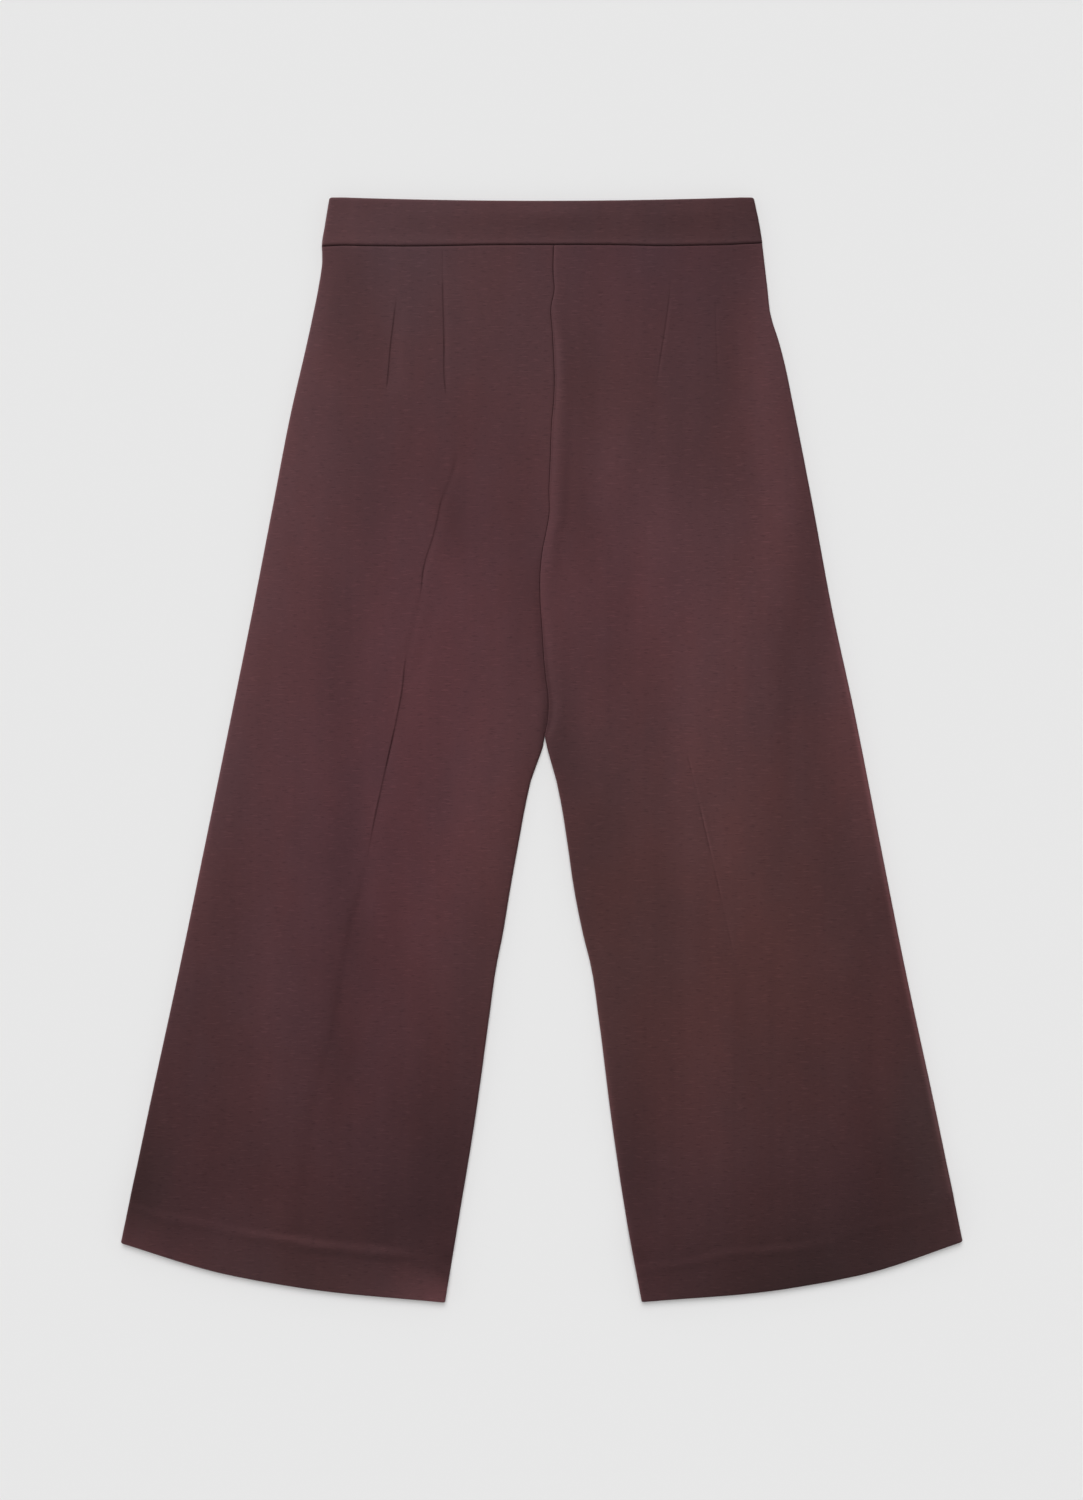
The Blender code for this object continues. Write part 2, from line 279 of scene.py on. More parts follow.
# %% Crease lines
LINES = table(
    "down left_crease left_side right_crease right_side",
    (36, -77.8, -108.2, 101.5, 133.5),
    (74, -77.4, -113.2, 99.5, 134.6),
    (97, -76.8, -115.8, 96.7, 135.3),
    (113, -76.4, -117.8, 94.2, 135.9),
    (144, -76, -120.6, 89.8, 137.1),
    (175, -70.7, -125.2, 88.3, 139.8),
    (197, -67, -130.2, 89.8, 141.8),
    (213, -69.9, -134.2, 91.3, 143.8),
    (228, -75.2, -138.2, 92.3, 146.8),
    (236, -78.4, -140.2, 92.8, 148.3),
    (252, -81.8, -144.2, 93.8, 151.3),
    (267, -85.7, -148.2, 95.3, 154.3),
    (283, -90.9, -152.2, 96.8, 157.8),
    (291, -92.7, -154.2, 97.6, 159.3),
    (306, -94.3, -157.2, 99.2, 162.3),
    (330, -99.3, -161.2, 101.8, 166.8),
    (361, -106.4, -162.7, 104.8, 173.3),
    (384, -108.9, -163.2, 107.3, 178.3),
    (408, -113.5, -163.7, 110.1, 183.8),
    (431, -118.6, -164.2, 112.8, 188.8),
    (454, -123.7, -165.2, 118.2, 194.3),
    (486, -130.6, -168.2, 125.6, 200.8),
    (525, -138.3, -177.2, 134.8, 208.8),
    (579, -151.6, -191.2, 147, 218.8),
    (649, -162.9, -209.2, 162.3, 231.8),
    (688, -172.3, -220.2, 169.3, 238.8),
    (782, -184, -243.2, 183.8, 252.8),
    (862, -191.2, -257.2, 191.8, 260.8),
)
HEM_TRIES = 12


class Leg:
    """The four lines of one leg panel, from its inner edge to its side seam, and its hem."""

    def __init__(self, side, layer):
        self.side = side
        self.layer = layer
        self.outwards = OUTWARDS[side]
        self.centre_seam = column_curve(CENTRE_SEAM, layer)
        self.inseam = column_curve(INSEAMS, side)
        self.crease = column_curve(LINES, side + "_crease")
        self.side_line = column_curve(LINES, side + "_side")
        self.side_seam = column_curve(SIDE_SEAMS, side)
        self.hem_at = column_curve(by_side(HEMS)[side], "down")
        self.lines = [self.inner_edge, self.crease, self.side_line, self.side_seam]
        self.ends = [self.hem_on(line) for line in self.lines]

    def inner_edge(self, down):
        """The centre seam, with half of its gap, and below the crotch the inseam."""
        sewn = 1 - ease(down, CROTCH_DOWN, CROTCH_DOWN + CROTCH_BLEND)
        edge = np.where(down < CROTCH_DOWN, self.centre_seam(down), self.inseam(down))
        return edge + self.outwards * sewn * SEAM_GAPS[self.layer] / 2

    def hem_on(self, line):
        """How far down a line meets the hem, found by closing in on it."""
        down = LENGTH
        for _ in range(HEM_TRIES):
            down = float(self.hem_at(line(down)))
        return down


legs = [Leg(side, layer) for side in OUTWARDS for layer in ("back", "front")]
for leg in legs:
    print(f"{leg.layer} {leg.side}: the crease meets the hem {leg.ends[1]:.0f} mm down")

# %% [markdown]
# ## A grid that knows where it is
#
# Each panel starts as Blender's own flat grid, with a column for each strand across the leg and a
# row for each step down it. Cloth needs finer steps where it bends sharply, so the columns crowd
# together beside seams and creases, and the rows at the waistband and hem. A row is either a share
# of the way down the leg, or a fixed distance above the hem. The last rows turn round the fold of
# the hem and run back up inside.

# %% Columns and rows of a panel
NEAR = (0.25, 0.55, 0.95, 1.5, 2.4, 3.6, 5.4, 8.2, 12.0)
NEAREST = NEAR[:5]
COLUMN_STEPS = {"back": (26, 2, 18), "front": (6, 2, 5)}
BODY_STEP = {"back": 2.7, "front": 14.0}
WALL = 1.1
AIR_GAP = 0.3
LAYER = WALL + AIR_GAP
FOLD_REACH = AIR_GAP / 2 + WALL
HEM_ZONE = 72.0
HEM_DEPTH = 36.0
RAW_EDGE_BELOW = 1.5
HEM_STEP = {"back": 1.4, "front": 8.4}
HEM_STEPS_END = 4.0
NEAR_FOLD = (3.5, 2.4, 1.7)
FOLD_STEPS = 10
TURN_UP_STARTS = 3.0
TURN_UP_ROWS = 12


def strands(layer):
    """The columns: the line each one starts from, its share of the way to the next, and its shift."""
    near = NEAR if layer == "back" else NEAR[1::3]
    found = []
    for line, steps in enumerate(COLUMN_STEPS[layer]):
        found += [(line, 0, shift) for shift in (0, *near)]
        shares = [step / steps for step in range(1, steps)]
        found += [(line, share, near[-1] * (1 - 2 * share)) for share in shares]
        found += [(line + 1, 0, -shift) for shift in reversed(near)]
    found.append((len(COLUMN_STEPS[layer]), 0, 0))
    return np.array(found, float)


def steps_down(layer):
    """The rows: the share of the way down, the distance above the hem, and the hem's turn."""
    body_length = LENGTH - HEM_ZONE - BAND_SEAM_DOWN
    count = round(body_length / BODY_STEP[layer])
    shares = [shift / body_length for shift in (0, *NEAREST)]
    shares += [step / count for step in range(1, count)]
    found = [(share, HEM_ZONE, 0) for share in sorted(shares)]
    found += [(1, up, 0) for up in np.arange(HEM_ZONE, HEM_STEPS_END, -HEM_STEP[layer])]
    found += [(1, up, 0) for up in NEAR_FOLD]
    found += [(1, FOLD_REACH, 180 * step / FOLD_STEPS) for step in range(FOLD_STEPS + 1)]
    found += [(1, up, 180) for up in np.linspace(TURN_UP_STARTS, HEM_DEPTH, TURN_UP_ROWS)]
    return np.array(found, float)


for layer in ("back", "front"):
    print(f"{layer} panel: {len(strands(layer))} columns, {len(steps_down(layer))} rows")

# %% [markdown]
# ## Where a row and a column meet
#
# A row crosses the four lines of the leg, and a smooth curve through those four places gives the
# rest of the row. Near the top the rows are moved onto the waistband's seam, and lower down they
# take the arc of the hem.

# %% The plan of a panel
TOP_BLEND = 0.15


def panel_plan(leg, columns, rows):
    """How far across and down each row meets each column, as two arrays of rows by columns."""
    shares, ups, turns = rows.T
    downs = []
    for line, end in zip(leg.lines, leg.ends):
        start = float(band_seam(line(BAND_SEAM_DOWN))) + SEAM_GAPS[leg.layer] / 2
        raw_edge = float(hem_ridge_at(leg.side, line(end)).up) - RAW_EDGE_BELOW
        up = np.where(turns == 180, ups * raw_edge / HEM_DEPTH, ups)
        downs.append(start + shares * (end - up - start))
    acrosses = np.array([line(down) for line, down in zip(leg.lines, downs)])
    downs = np.array(downs)
    first = columns[:, 0].astype(int)
    second = np.minimum(first + 1, len(leg.lines) - 1)
    across = acrosses[first] + (acrosses[second] - acrosses[first]) * columns[:, 1:2]
    across = (across + columns[:, 2:3] * leg.outwards).T
    down = np.stack(
        [smooth_curve(acrosses[:, n], downs[:, n])(across[n]) for n in range(len(rows))]
    )
    top = band_seam(across[0]) + SEAM_GAPS[leg.layer] / 2
    near_top = 1 - ease(shares, 0, TOP_BLEND)
    down = down + (top - down[0]) * near_top[:, None]
    return across, down


# %% [markdown]
# ## Layers
#
# Laid flat, the garment is a stack of cloth. The front lies on the table and the back on top of it,
# with a little air between. At the hem each layer is doubled, so four layers lie on each other, and
# the back rises a few millimetres to pass over them. At the side seams and inseams it comes down to
# meet the front, and the air thins out. There the seam allowances, pressed open inside, fill some
# of the missing height: all of it where the table below says 1, and nothing where it says 0.
#
# Most forms on a panel depend on how far a place is from an edge, so that is worked out only once.

# %% The height of the back panels
AIR = 1.6
EDGE_ROLL = 18.0
HEM_STEP_STARTS = 38.5
EDGE_FILLS = table(
    "down left_side right_side left_inseam right_inseam",
    (37, 0.9, 1, 0, 0),
    (62, 0.4, 1, 0, 0),
    (200, 0.4, 1, 0, 0),
    (300, 0.15, 1, 0, 1),
    (430, 0, 1, 0.2, 1),
    (545, 0.1, 1, 0.4, 0.9),
    (625, 0.5, 1, 0.9, 0.5),
    (760, 0.9, 1, 1, 0.7),
    (862, 0.9, 1, 1, 0.7),
)


class Places:
    """The places of a leg panel, by row and column, and how far they are from its edges."""

    def __init__(self, leg):
        rows = steps_down(leg.layer)
        across, down = panel_plan(leg, strands(leg.layer), rows)
        self.leg, self.across, self.down = leg, across, down
        self.turn = np.radians(rows[:, 2:3])
        self.from_side = np.abs(leg.side_seam(down) - across)
        self.from_inner = np.abs(leg.inner_edge(down) - across)
        self.above_hem = leg.hem_at(across) - down
        self.ridge = hem_ridge_at(leg.side, across)


def settled(distance):
    """How far the cloth has risen at this distance from an edge: steeply at first, then less."""
    return 1 - np.clip(1 - distance / EDGE_ROLL, 0, 1) ** 2


def below_crotch(down):
    """0 above the crotch and 1 below it, where the inner edge is a free edge."""
    return ease(down, CROTCH_DOWN - CROTCH_BLEND, CROTCH_DOWN + CROTCH_BLEND)


def air_and_fill(at):
    """The air under the back panel, and how much of the missing air its seam allowances fill."""
    at_side = settled(at.from_side)
    at_inseam = 1 - below_crotch(at.down) * (1 - settled(at.from_inner))
    side_fill = column_curve(EDGE_FILLS, at.leg.side + "_side")(at.down)
    inseam_fill = column_curve(EDGE_FILLS, at.leg.side + "_inseam")(at.down)
    air = AIR * at_side * at_inseam
    filled_side = at_side + (1 - at_side) * side_fill
    filled_inseam = at_inseam + (1 - at_inseam) * inseam_fill
    return air, AIR * filled_side * filled_inseam - air


# %% [markdown]
# ## Creases and darts
#
# Pressed suiting keeps fine, crisp marks. A dart shows as a thin ditch that ends a hand's width below
# the waistband. The press crease is a shallow ditch as well, deeper on the left leg, and it comes
# and goes along its length. Each mark is one row of a table: it follows a line, a little to one side
# of it, grows and fades on the way down, and lifts the cloth by "rise", or sinks it where that is
# negative. "before" and "after" are how far it reaches to the left and to the right.

# %% The marks on the back panels
MARKS = {
    "left": table(
        "line aside starts full fades ends rise before after",
        ("crease", 0.6, 36, 44, 62, 80, -0.12, 1.3, 2.4),
        ("crease", 0.6, 64, 72, 149, 154, -0.46, 1.3, 4.2),
        ("crease", 0.6, 106, 114, 120, 128, -0.2, 1.2, 2),
        ("side", 0.6, 74, 98, 142, 152, -0.53, 1.3, 14),
        ("crease", 1.5, 190, 212, 226, 244, -0.26, 3.5, 5),
        ("crease", 0.7, 228, 244, 290, 322, -0.38, 1.5, 5),
        ("crease", 0.7, 284, 290, 300, 308, -0.2, 1.2, 1.6),
        ("crease", 1.5, 300, 324, 350, 372, -0.22, 5, 12),
        ("crease", -1, 356, 368, 400, 412, 0.17, 1.6, 1.3),
        ("crease", 0.7, 352, 376, 482, 520, -0.48, 1.5, 14),
        ("crease", 0.5, 412, 422, 438, 452, -0.34, 1.3, 3),
        ("crease", -1, 462, 470, 482, 496, 0.18, 1.6, 1.3),
        ("crease", 2.5, 500, 545, 604, 720, -0.55, 7, 16),
        ("crease", 0, 640, 700, 770, 800, -0.28, 9, 9),
    ),
    "right": table(
        "line aside starts full fades ends rise before after",
        ("crease", 0.5, 56, 88, 126, 152, -0.29, 1.3, 2),
        ("side", 0.5, 72, 92, 126, 146, -0.14, 1.3, 2),
        ("crease", 0.3, 432, 440, 446, 452, -0.26, 1.5, 1.4),
        ("crease", 0.3, 436, 458, 590, 622, -0.06, 1.5, 1.6),
        ("crease", 1.9, 446, 462, 510, 530, 0.1, 1.4, 3),
        ("crease", 0.3, 470, 482, 503, 520, -0.3, 1.5, 1.4),
        ("crease", 1.7, 472, 480, 498, 514, 0.16, 1.3, 3),
        ("crease", 0.3, 524, 531, 540, 550, -0.3, 1.5, 1.4),
        ("crease", 0.3, 564, 572, 579, 588, -0.2, 1.5, 1.4),
        ("crease", 3, 430, 480, 640, 760, -0.45, 14, 18),
    ),
}


def marks_height(at):
    """What the marks add to the height of a back panel."""
    lines = {"crease": at.leg.crease, "side": at.leg.side_line}
    height = np.zeros_like(at.across)
    for mark in MARKS[at.leg.side]:
        beside = at.across - lines[mark.line](at.down) - mark.aside
        near = ease(beside, -mark.before, 0) * (1 - ease(beside, 0, mark.after))
        along = ease(at.down, mark.starts, mark.full) * (1 - ease(at.down, mark.fades, mark.ends))
        height += mark.rise * along * near
    return height


# %% [markdown]
# ## Broad swells
#
# Between the marks, the cloth isn't quite flat: it lies in a few long, low swells and hollows that
# follow the legs down. The highest is hardly more than the cloth's own thickness, but under a low
# lamp they are what makes a pressed panel look soft. The two flanks of a swell, "left" and "right",
# have their own widths.

# %% Swells of the drape
SWELL_ENDS = 0.35
SWELLS = table(
    "starts ends across_top across_bottom rise left right",
    (250, 740, -168, -176, 1, 60, 34),
    (370, 660, -88, -104, -0.8, 36, 50),
    (130, 330, -128, -140, 0.5, 30, 30),
    (298, 388, -80, -101, -0.45, 6, 13),
    (230, 580, 190, 166, 1.3, 62, 20),
    (420, 760, 110, 150, -0.6, 40, 45),
    (120, 330, 70, 66, 0.45, 25, 35),
)


def swells_height(at):
    """What the broad, low swells of the drape add to the height of a back panel."""
    height = np.zeros_like(at.across)
    for swell in by_side(SWELLS, "across_top")[at.leg.side]:
        share = np.clip((at.down - swell.starts) / (swell.ends - swell.starts), 0, 1)
        beside = at.across - swell.across_top - share * (swell.across_bottom - swell.across_top)
        near = ease(beside, -swell.left, 0) * (1 - ease(beside, 0, swell.right))
        along = ease(share, 0, SWELL_ENDS) * (1 - ease(share, 1 - SWELL_ENDS, 1))
        height += swell.rise * near * along
    return height


# %% [markdown]
# ## The centre-back seam
#
# The two back panels are sewn together and the allowance is pressed towards the right. So the left
# panel sinks into the seam, and the right panel rises out of it to a low welt and falls again. High
# up the ditch is narrow. Towards the crotch the cloth is pulled: it sinks from further away, and the
# right panel stays low for 3 mm ("wait") before it rises.

# %% The relief along the centre-back seam
SEAM_FORMS = table(
    "down sink soft wait crest crest_at foot",
    (36, 0.42, 1.8, 0.2, 0.08, 2.8, 9),
    (62, 0.4, 1.8, 0.4, 0.08, 3, 9),
    (80, 0.25, 2, 0.5, 0.1, 3, 9),
    (98, 0.32, 2.2, 1.2, 0.35, 3.8, 13),
    (112, 0.36, 2.4, 1.5, 0.7, 4.6, 15),
    (155, 0.28, 2.4, 1.5, 0.76, 5.2, 15),
    (170, 0.2, 2.4, 1.4, 0.8, 6.5, 15),
    (205, 0.2, 2.2, 1.4, 0.92, 7, 15),
    (230, 0.2, 2, 1.2, 0.9, 7.5, 14),
    (252, 0.16, 2, 0.8, 0.95, 9, 12),
    (270, 0.16, 3, 0.5, 0.96, 9.5, 12),
    (284, 0.5, 5, 0.3, 0.76, 9.5, 14),
    (298, 0.78, 8, 0.3, 0.22, 7, 18),
    (315, 1.08, 8.5, 0.6, 0.2, 8, 22),
    (345, 1.45, 8.5, 1.8, 0.35, 10, 28),
    (376, 1.65, 7.5, 3, 0.28, 8, 26),
    (396, 1.8, 7, 3.2, 0.18, 7, 22),
    (410, 1.8, 6.5, 2.6, 0.1, 7, 20),
    (424, 0.9, 5, 0.8, 0.05, 8, 18),
    (440, 0, 5, 0, 0, 8, 18),
)
seam_form_at = row_curve(SEAM_FORMS)


def centre_seam_height(at):
    """How the cloth sinks into the centre-back seam, and rises beside it on the right."""
    form = seam_form_at(np.clip(at.down, SEAM_FORMS[0].down, SEAM_FORMS[-1].down))
    if at.leg.side == "left":
        return -form.sink * np.clip(1 - at.from_inner / form.soft, 0, 1) ** 2
    past = np.maximum(at.from_inner - form.wait, 0)
    rising = 1 - np.clip(1 - past / form.crest_at, 0, 1) ** 2
    falling = 1 - ease(past, form.crest_at, form.foot)
    return (form.sink + form.crest) * rising - form.sink - form.crest * (1 - falling)


# %% [markdown]
# ## The turned-up hem shows through
#
# The raw edge of the turn-up presses through the cloth as a low ridge, three fingers above the hem.
# It wanders, because the cloth was eased by hand, and it is strongest in the middle of the left
# leg. "step" is how much of the climb onto the doubled hem the cloth makes at the ridge.

# %% The ridge above the hem
HEM_RIDGES = table(
    "across up step width bump tail",
    (-328, 30, 0.12, 5, 0.29, 6),
    (-316, 31.9, 0.25, 5, 0.46, 5),
    (-292, 30.4, 1, 8, 0.45, 5),
    (-269, 33.1, 0.62, 8, 0.51, 5),
    (-246, 33.5, 0.5, 7, 0.45, 5),
    (-228, 32.6, 1.25, 9, 0.51, 5),
    (-211, 35.7, 0.19, 4.5, 1.4, 8),
    (-199, 36.3, 0.19, 4, 1.5, 8),
    (-187, 34, 1.25, 8, 1.58, 7),
    (-175, 33.8, 0.62, 7, 1.58, 7),
    (-158, 34.6, 0.62, 7, 1.12, 6),
    (-140, 34.7, 0.75, 8.5, 1.03, 6),
    (-123, 35, 1.38, 8.5, 1.12, 6),
    (-105, 34.7, 0.5, 7, 0.46, 6),
    (-92, 32, 0.25, 8, 0.29, 6),
    (-78, 24, 0.75, 11, 0.1, 6),
    (77, 25, 0, 6, 0.38, 6),
    (93, 27.3, 0, 6, 0.45, 6),
    (124, 30.3, 0.12, 6, 0.45, 6),
    (140, 32.1, 0.48, 7, 0.38, 6),
    (155, 32.8, 0.24, 6, 0.45, 6),
    (171, 31.4, 0.42, 5.5, 0.6, 6),
    (187, 30.8, 0.48, 6.5, 0.52, 7),
    (202, 29, 0.72, 7, 0.45, 5),
    (218, 31.4, 0.18, 6, 0.3, 5),
    (249, 35.4, 0.12, 7, 0.22, 6),
    (280, 34.5, 0.12, 6, 0.22, 6),
    (328, 30, 0, 6, 0.08, 6),
)
HEM_FORMS = {side: row_curve(rows) for side, rows in by_side(HEM_RIDGES).items()}
HEM_RISE = 2 * LAYER - AIR


def hem_ridge_at(side, across):
    """The ridge's place and form at this distance across. None of its sizes falls below 0."""
    ridge = HEM_FORMS[side](across)
    return ridge._make([across, *np.maximum(ridge[1:], 0)])


def hem_climb(ridge, up):
    """The share of the climb onto the doubled hem that is done, and the height of the ridge."""
    sharp = np.clip(ridge.step / HEM_RISE, 0, 1)
    below_slope = 1 - ease(up, ridge.up, ridge.up + ridge.width)
    slow = 1 - ease(up, HEM_STEP_STARTS, HEM_ZONE)
    above_tail = ease(up, ridge.up - ridge.tail, ridge.up)
    return sharp * below_slope + (1 - sharp) * slow, ridge.bump * below_slope * above_tail


def back_level(at):
    """The middle of the hem's fold, and above it the same level carried over the whole panel."""
    climbed, ridge_height = hem_climb(at.ridge, at.above_hem)
    air, _ = air_and_fill(at)
    body = LAYER - AIR_GAP / 2 + air
    hem = 3 * LAYER - AIR_GAP / 2
    marks = marks_height(at) + swells_height(at) + ridge_height
    at_side = ease(at.from_side, 0, EDGE_ROLL / 2)
    return body * (1 - climbed) + hem * climbed + marks * at_side


# %% [markdown]
# ## Rolled edges
#
# Where a panel is sewn to its neighbour, the cloth turns down into the seam, so its edge is round
# and the seam is a narrow ditch. The outside of the cloth falls along a quarter of an ellipse, which
# starts at "width" from the edge and ends "drop" lower down.

# %% Rounding an edge
Roll = namedtuple("Roll", "width drop")
FREE_EDGE = Roll(2.4, 0.95)
CENTRE_EDGE = Roll(0.6, 0.30)
UNDER_BAND = Roll(1.9, 1.55)
BAND_FOOT = Roll(2.3, 1.95)
BAND_TOP = Roll(2.4, 1.40)


def rolled(distance, roll):
    """How far the outside of the cloth has fallen at this distance from an edge."""
    inside = np.clip(distance / roll.width, 0, 1)
    return roll.drop * (1 - np.sqrt(1 - (1 - inside) ** 2))


# %% [markdown]
# ## From a grid to a sheet of cloth
#
# The grid is extruded to give it a second side, like a block with one cell through its thickness.
# Each point still knows its column, row and side, so a function can send all of them to their
# places at once. The block is closed, so its faces need to be turned outwards only once, and a
# negative volume shows that a mirrored panel has come out inside out.
#
# The weave has to follow the cloth round the hem, so each point also gets a UV place, in metres
# along the cloth. And it keeps three factors for red, green and blue, the strength of its dye times
# any painted light and shade, which the material reads later.

# %% Making one sheet
EVEN_DYE = (1.0, 1.0, 1.0)
SHARP_ANGLE = radians(50)


def along_cloth(points):
    """UV places: metres across the table, and metres along the cloth from its top edge."""
    steps = np.linalg.norm(np.diff(points, axis=0)[..., 1:], axis=-1)
    run = np.concatenate([np.zeros((1, points.shape[1])), np.cumsum(steps, axis=0)])
    return np.stack([points[..., 0], run - points[:1, :, 1]], axis=-1)


def add_object(name, data):
    """Puts new data into the scene as an object."""
    item = bpy.data.objects.new(name, data)
    bpy.context.scene.collection.objects.link(item)
    return item


def add_mesh(name, bm):
    """Turns a finished bmesh into an object in the scene."""
    mesh = bpy.data.meshes.new(name)
    bm.to_mesh(mesh)
    bm.free()
    return add_object(name, mesh)


def make_sheet(name, points, dye_and_painted_light=EVEN_DYE):
    """A closed sheet of cloth, from its points by side, row and column, and its dye and painted
    light.
    """
    row_count, column_count = points.shape[1:3]
    bm = bmesh.new()
    bmesh.ops.create_grid(bm, x_segments=column_count - 1, y_segments=row_count - 1, size=0.5)
    grown = bmesh.ops.extrude_face_region(bm, geom=bm.faces[:], use_keep_orig=True)["geom"]
    outside = [item for item in grown if isinstance(item, bmesh.types.BMVert)]
    bmesh.ops.translate(bm, verts=outside, vec=(0, 0, 1))
    bmesh.ops.recalc_face_normals(bm, faces=bm.faces[:])
    at = np.array([vert.co for vert in bm.verts])
    column = np.rint((at[:, 0] + 0.5) * (column_count - 1)).astype(int)
    row = np.rint((at[:, 1] + 0.5) * (row_count - 1)).astype(int)
    side = np.rint(at[:, 2]).astype(int)
    for vert, point in zip(bm.verts, points[side, row, column]):
        vert.co = point
    if bm.calc_volume(signed=True) < 0:
        bmesh.ops.reverse_faces(bm, faces=bm.faces[:])
    piece = add_mesh(name, bm)
    mesh = piece.data
    corners = np.empty(len(mesh.loops), int)
    mesh.loops.foreach_get("vertex_index", corners)
    layer = mesh.uv_layers.new(name="cloth")
    layer.data.foreach_set("uv", along_cloth(points[1])[row[corners], column[corners]].ravel())
    dyes_and_painted_light = np.broadcast_to(dye_and_painted_light, (row_count, column_count, 3))[row, column]
    mesh.attributes.new("dye_and_painted_light", "FLOAT_VECTOR", "POINT").data.foreach_set("vector", dyes_and_painted_light.ravel())
    mesh.shade_smooth()
    mesh.set_sharp_from_angle(angle=SHARP_ANGLE)
    print(f"{name}: {2 * len(mesh.polygons)} triangles")
    return piece


# %% [markdown]
# ## Painted highlights
#
# The turned-up hem is painted lighter than the leg, above all on the left, with a little more along
# the ridge above it, and a thin painted highlight runs along the side seam of the right leg. Light is
# given as a share: 0.1 is a tenth lighter.

# %% Painted highlights on the hem and the edges
# Painted highlight on the turned-up hem: how much lighter it is at the fold, by place across.
PAINTED_HEM_HIGHLIGHTS = table(
    "across light",
    (-330, 0.6), (-282, 0.4), (-220, 0.28), (-189, 0.14), (-157, 0.24), (-126, 0.5),
    (-105, 0.82), (-78, 1.3),
    (78, 0.12), (120, 0.06), (205, -0.02), (260, 0.04), (330, 0.1),
)
HEM_PAINTED_HIGHLIGHTS = {side: column_curve(rows, "light") for side, rows in by_side(PAINTED_HEM_HIGHLIGHTS).items()}
# How much painted highlight lies along the ridge above the hem, for each millimetre of its bump.
RIDGE_PAINTED_HIGHLIGHT = 0.08
# Painted highlight along the edges of each leg, by place down: strongest on the right leg's side
# seam.
PAINTED_EDGE_HIGHLIGHTS = table(
    "down left_side right_side left_inseam right_inseam",
    (37, 0, 0.15, 0, 0),
    (300, 0, 0.3, 0, 0),
    (380, 0, 0.65, 0, 0),
    (440, 0.15, 0.95, 0, 0),
    (545, 0.1, 0.95, 0, 0),
    (625, 0.05, 0.95, 0.05, 0.1),
    (705, 0.05, 1.2, 0.1, 0.25),
    (765, 0.05, 0.55, 0.1, 0.15),
    (862, 0.05, 0.3, 0.1, 0.1),
)
RIM_AT = 0.8
RIM_FOOT = 5.0


def painted_rim_highlight(at, edge, distance):
    """The painted highlight along an edge of the leg, at this distance from it."""
    strength = column_curve(PAINTED_EDGE_HIGHLIGHTS, f"{at.leg.side}_{edge}")(at.down)
    return strength * (1 - ease(distance, RIM_AT, RIM_FOOT))


def painted_hem_highlight(at):
    """The painted highlight on the turned-up hem: most at its fold, and a little along the ridge."""
    up, ridge = at.above_hem, at.ridge
    fold = HEM_PAINTED_HIGHLIGHTS[at.leg.side](at.across) * (1 - np.clip(up / ridge.up, 0, 1))
    line = ridge.bump * (1 - ease(np.abs(up - ridge.up - ridge.width / 2), 0, ridge.width))
    return fold + RIDGE_PAINTED_HIGHLIGHT * line


# %% [markdown]
# ## Painted light and shade on the panels
#
# The panels are painted a little lighter or darker in broad soft patches with no edge to them:
# painted light and shade over the drape. Each patch here is a soft oval with its own place and reach.
# Most change the light by about a sixth, and the strongest by over a third.

# %% Soft patches of painted light and shade
# Painted light and shade: each oval makes the panel lighter, or darker where its light is negative.
PAINTED_LIGHT_AND_SHADE = table(
    "across down half_width half_length light",
    (-78, 195, 105, 165, -0.16),
    (-148, 72, 50, 100, -0.17),
    (-146, 215, 40, 180, -0.15),
    (-168, 345, 44, 110, -0.12),
    (-16, 285, 32, 140, -0.15),
    (-67, 250, 20, 50, -0.15),
    (-154, 490, 24, 240, -0.08),
    (-142, 585, 22, 60, -0.13),
    (-160, 665, 26, 80, -0.13),
    (-205, 645, 48, 150, 0.14),
    (-46, 485, 55, 130, 0.14),
    (-85, 555, 40, 90, 0.1),
    (-78, 755, 56, 140, -0.25),
    (-128, 800, 80, 50, -0.15),
    (-315, 758, 32, 66, -0.24),
    (-235, 800, 60, 42, 0.13),
    (36, 160, 34, 100, -0.14),
    (6, 395, 28, 80, -0.18),
    (18, 440, 26, 60, -0.16),
    (42, 500, 40, 100, -0.14),
    (50, 200, 26, 70, 0.15),
    (90, 280, 42, 120, 0.2),
    (110, 430, 30, 190, 0.2),
    (150, 335, 62, 220, 0.24),
    (176, 128, 38, 120, 0.38),
    (182, 62, 30, 50, 0.22),
    (184, 240, 34, 120, 0.32),
    (27, 250, 22, 70, -0.13),
    (240, 380, 38, 150, 0.34),
    (256, 480, 26, 90, 0.26),
    (190, 465, 46, 120, 0.1),
    (144, 500, 44, 100, 0.2),
    (128, 680, 40, 220, 0.17),
    (190, 590, 70, 100, 0.13),
    (210, 850, 190, 130, -0.32),
    (268, 765, 60, 90, -0.18),
    (70, 755, 30, 110, -0.15),
)


def patches(at, ovals, column):
    """The sum of soft ovals: each has this column's value in its middle, and 0 at its rim."""
    total = np.zeros_like(at.across)
    for oval in ovals:
        right = (at.across - oval.across) / oval.half_width
        below = (at.down - oval.down) / oval.half_length
        total += getattr(oval, column) * (1 - ease(np.hypot(right, below), 0, 1))
    return total


# %% [markdown]
# ## The drift of the dye
#
# A deep dye drifts a little over a large piece. Here the left leg is a shade redder than the right,
# the right leg and the inner legs are browner, the waist is cooler, and the hems are greyer. A tint
# has a place and a reach as a nap patch has. Its "red" is taken mostly from the green, and its
# "blue" only changes the blue.

